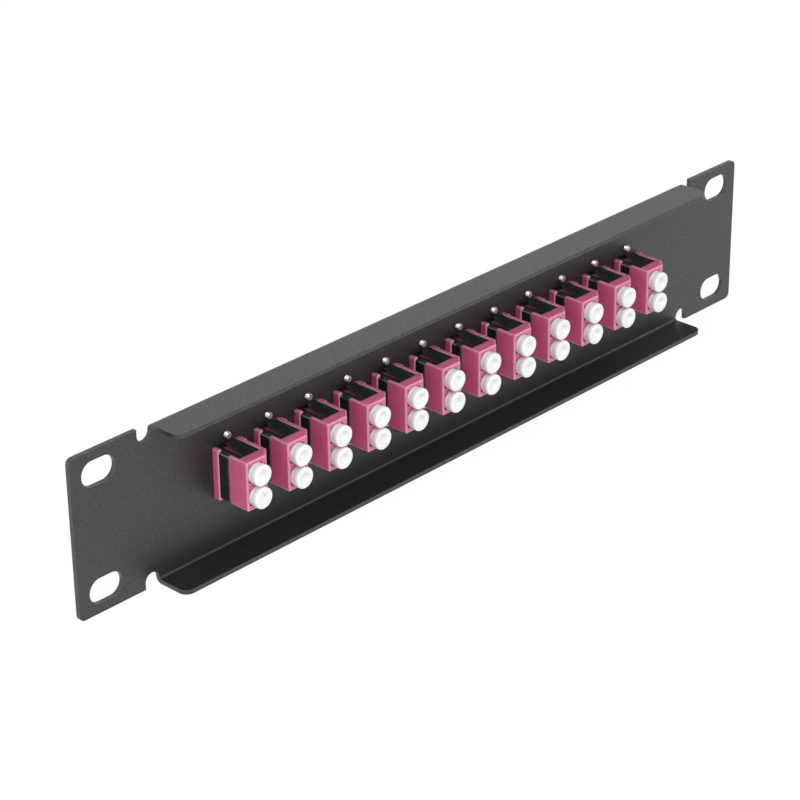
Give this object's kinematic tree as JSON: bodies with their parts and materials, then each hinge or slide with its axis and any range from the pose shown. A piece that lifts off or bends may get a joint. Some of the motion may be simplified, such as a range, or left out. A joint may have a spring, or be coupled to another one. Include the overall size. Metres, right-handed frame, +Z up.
{
  "type": "fibre patch panel",
  "caption": "Folded black rack panel with a row of pink duplex fibre adapters, spring clips and white pull-out dust caps.",
  "frame": {"origin": "centre of the four rack slots, on the rear face of the sheet, which bears on the rack's rails", "axes": "+X along the panel, +Y to the rear, the way the flanges point, +Z up"},
  "size_m": [0.254, 0.0328, 0.044],
  "materials": {
    "powder_coat": "fine-textured satin powder coat",
    "housing_plastic": "moulded, satin gloss",
    "clip_steel": "dark spring steel",
    "screw_steel": "bright zinc plate",
    "ceramic": "polished",
    "cap_plastic": "soft, slightly translucent moulding"
  },
  "bodies": {
    "panel_assembly": {"panel": "powder_coat", "adapter_01": "housing_plastic", "adapter_02": "housing_plastic", "adapter_03": "housing_plastic", "adapter_04": "housing_plastic", "adapter_05": "housing_plastic", "adapter_06": "housing_plastic", "adapter_07": "housing_plastic", "adapter_08": "housing_plastic", "adapter_09": "housing_plastic", "adapter_10": "housing_plastic", "adapter_11": "housing_plastic", "adapter_12": "housing_plastic", "spring_clips": "clip_steel", "flange_screws": "screw_steel", "alignment_sleeves": "ceramic"},
    "rear_cap_01_upper": {"rear_cap_01_upper": "cap_plastic"},
    "rear_cap_01_lower": {"rear_cap_01_lower": "cap_plastic"},
    "rear_cap_02_upper": {"rear_cap_02_upper": "cap_plastic"},
    "rear_cap_02_lower": {"rear_cap_02_lower": "cap_plastic"},
    "rear_cap_03_upper": {"rear_cap_03_upper": "cap_plastic"},
    "rear_cap_03_lower": {"rear_cap_03_lower": "cap_plastic"},
    "rear_cap_04_upper": {"rear_cap_04_upper": "cap_plastic"},
    "rear_cap_04_lower": {"rear_cap_04_lower": "cap_plastic"},
    "rear_cap_05_upper": {"rear_cap_05_upper": "cap_plastic"},
    "rear_cap_05_lower": {"rear_cap_05_lower": "cap_plastic"},
    "rear_cap_06_upper": {"rear_cap_06_upper": "cap_plastic"},
    "rear_cap_06_lower": {"rear_cap_06_lower": "cap_plastic"},
    "rear_cap_07_upper": {"rear_cap_07_upper": "cap_plastic"},
    "rear_cap_07_lower": {"rear_cap_07_lower": "cap_plastic"},
    "rear_cap_08_upper": {"rear_cap_08_upper": "cap_plastic"},
    "rear_cap_08_lower": {"rear_cap_08_lower": "cap_plastic"},
    "rear_cap_09_upper": {"rear_cap_09_upper": "cap_plastic"},
    "rear_cap_09_lower": {"rear_cap_09_lower": "cap_plastic"},
    "rear_cap_10_upper": {"rear_cap_10_upper": "cap_plastic"},
    "rear_cap_10_lower": {"rear_cap_10_lower": "cap_plastic"},
    "rear_cap_11_upper": {"rear_cap_11_upper": "cap_plastic"},
    "rear_cap_11_lower": {"rear_cap_11_lower": "cap_plastic"},
    "rear_cap_12_upper": {"rear_cap_12_upper": "cap_plastic"},
    "rear_cap_12_lower": {"rear_cap_12_lower": "cap_plastic"},
    "front_caps_01": {"front_caps_01": "cap_plastic"},
    "front_caps_02": {"front_caps_02": "cap_plastic"},
    "front_caps_03": {"front_caps_03": "cap_plastic"},
    "front_caps_04": {"front_caps_04": "cap_plastic"},
    "front_caps_05": {"front_caps_05": "cap_plastic"},
    "front_caps_06": {"front_caps_06": "cap_plastic"},
    "front_caps_07": {"front_caps_07": "cap_plastic"},
    "front_caps_08": {"front_caps_08": "cap_plastic"},
    "front_caps_09": {"front_caps_09": "cap_plastic"},
    "front_caps_10": {"front_caps_10": "cap_plastic"},
    "front_caps_11": {"front_caps_11": "cap_plastic"},
    "front_caps_12": {"front_caps_12": "cap_plastic"}
  },
  "joints": [
    {"name": "rear_cap_01_upper_pull", "type": "slide", "parent": "panel_assembly", "child": "rear_cap_01_upper", "axis": [0, 1, 0], "range_m": [0, 0.01]},
    {"name": "rear_cap_01_lower_pull", "type": "slide", "parent": "panel_assembly", "child": "rear_cap_01_lower", "axis": [0, 1, 0], "range_m": [0, 0.01]},
    {"name": "rear_cap_02_upper_pull", "type": "slide", "parent": "panel_assembly", "child": "rear_cap_02_upper", "axis": [0, 1, 0], "range_m": [0, 0.01]},
    {"name": "rear_cap_02_lower_pull", "type": "slide", "parent": "panel_assembly", "child": "rear_cap_02_lower", "axis": [0, 1, 0], "range_m": [0, 0.01]},
    {"name": "rear_cap_03_upper_pull", "type": "slide", "parent": "panel_assembly", "child": "rear_cap_03_upper", "axis": [0, 1, 0], "range_m": [0, 0.01]},
    {"name": "rear_cap_03_lower_pull", "type": "slide", "parent": "panel_assembly", "child": "rear_cap_03_lower", "axis": [0, 1, 0], "range_m": [0, 0.01]},
    {"name": "rear_cap_04_upper_pull", "type": "slide", "parent": "panel_assembly", "child": "rear_cap_04_upper", "axis": [0, 1, 0], "range_m": [0, 0.01]},
    {"name": "rear_cap_04_lower_pull", "type": "slide", "parent": "panel_assembly", "child": "rear_cap_04_lower", "axis": [0, 1, 0], "range_m": [0, 0.01]},
    {"name": "rear_cap_05_upper_pull", "type": "slide", "parent": "panel_assembly", "child": "rear_cap_05_upper", "axis": [0, 1, 0], "range_m": [0, 0.01]},
    {"name": "rear_cap_05_lower_pull", "type": "slide", "parent": "panel_assembly", "child": "rear_cap_05_lower", "axis": [0, 1, 0], "range_m": [0, 0.01]},
    {"name": "rear_cap_06_upper_pull", "type": "slide", "parent": "panel_assembly", "child": "rear_cap_06_upper", "axis": [0, 1, 0], "range_m": [0, 0.01]},
    {"name": "rear_cap_06_lower_pull", "type": "slide", "parent": "panel_assembly", "child": "rear_cap_06_lower", "axis": [0, 1, 0], "range_m": [0, 0.01]},
    {"name": "rear_cap_07_upper_pull", "type": "slide", "parent": "panel_assembly", "child": "rear_cap_07_upper", "axis": [0, 1, 0], "range_m": [0, 0.01]},
    {"name": "rear_cap_07_lower_pull", "type": "slide", "parent": "panel_assembly", "child": "rear_cap_07_lower", "axis": [0, 1, 0], "range_m": [0, 0.01]},
    {"name": "rear_cap_08_upper_pull", "type": "slide", "parent": "panel_assembly", "child": "rear_cap_08_upper", "axis": [0, 1, 0], "range_m": [0, 0.01]},
    {"name": "rear_cap_08_lower_pull", "type": "slide", "parent": "panel_assembly", "child": "rear_cap_08_lower", "axis": [0, 1, 0], "range_m": [0, 0.01]},
    {"name": "rear_cap_09_upper_pull", "type": "slide", "parent": "panel_assembly", "child": "rear_cap_09_upper", "axis": [0, 1, 0], "range_m": [0, 0.01]},
    {"name": "rear_cap_09_lower_pull", "type": "slide", "parent": "panel_assembly", "child": "rear_cap_09_lower", "axis": [0, 1, 0], "range_m": [0, 0.01]},
    {"name": "rear_cap_10_upper_pull", "type": "slide", "parent": "panel_assembly", "child": "rear_cap_10_upper", "axis": [0, 1, 0], "range_m": [0, 0.01]},
    {"name": "rear_cap_10_lower_pull", "type": "slide", "parent": "panel_assembly", "child": "rear_cap_10_lower", "axis": [0, 1, 0], "range_m": [0, 0.01]},
    {"name": "rear_cap_11_upper_pull", "type": "slide", "parent": "panel_assembly", "child": "rear_cap_11_upper", "axis": [0, 1, 0], "range_m": [0, 0.01]},
    {"name": "rear_cap_11_lower_pull", "type": "slide", "parent": "panel_assembly", "child": "rear_cap_11_lower", "axis": [0, 1, 0], "range_m": [0, 0.01]},
    {"name": "rear_cap_12_upper_pull", "type": "slide", "parent": "panel_assembly", "child": "rear_cap_12_upper", "axis": [0, 1, 0], "range_m": [0, 0.01]},
    {"name": "rear_cap_12_lower_pull", "type": "slide", "parent": "panel_assembly", "child": "rear_cap_12_lower", "axis": [0, 1, 0], "range_m": [0, 0.01]},
    {"name": "front_caps_01_pull", "type": "slide", "parent": "panel_assembly", "child": "front_caps_01", "axis": [0, -1, 0], "range_m": [0, 0.01]},
    {"name": "front_caps_02_pull", "type": "slide", "parent": "panel_assembly", "child": "front_caps_02", "axis": [0, -1, 0], "range_m": [0, 0.01]},
    {"name": "front_caps_03_pull", "type": "slide", "parent": "panel_assembly", "child": "front_caps_03", "axis": [0, -1, 0], "range_m": [0, 0.01]},
    {"name": "front_caps_04_pull", "type": "slide", "parent": "panel_assembly", "child": "front_caps_04", "axis": [0, -1, 0], "range_m": [0, 0.01]},
    {"name": "front_caps_05_pull", "type": "slide", "parent": "panel_assembly", "child": "front_caps_05", "axis": [0, -1, 0], "range_m": [0, 0.01]},
    {"name": "front_caps_06_pull", "type": "slide", "parent": "panel_assembly", "child": "front_caps_06", "axis": [0, -1, 0], "range_m": [0, 0.01]},
    {"name": "front_caps_07_pull", "type": "slide", "parent": "panel_assembly", "child": "front_caps_07", "axis": [0, -1, 0], "range_m": [0, 0.01]},
    {"name": "front_caps_08_pull", "type": "slide", "parent": "panel_assembly", "child": "front_caps_08", "axis": [0, -1, 0], "range_m": [0, 0.01]},
    {"name": "front_caps_09_pull", "type": "slide", "parent": "panel_assembly", "child": "front_caps_09", "axis": [0, -1, 0], "range_m": [0, 0.01]},
    {"name": "front_caps_10_pull", "type": "slide", "parent": "panel_assembly", "child": "front_caps_10", "axis": [0, -1, 0], "range_m": [0, 0.01]},
    {"name": "front_caps_11_pull", "type": "slide", "parent": "panel_assembly", "child": "front_caps_11", "axis": [0, -1, 0], "range_m": [0, 0.01]},
    {"name": "front_caps_12_pull", "type": "slide", "parent": "panel_assembly", "child": "front_caps_12", "axis": [0, -1, 0], "range_m": [0, 0.01]}
  ]
}
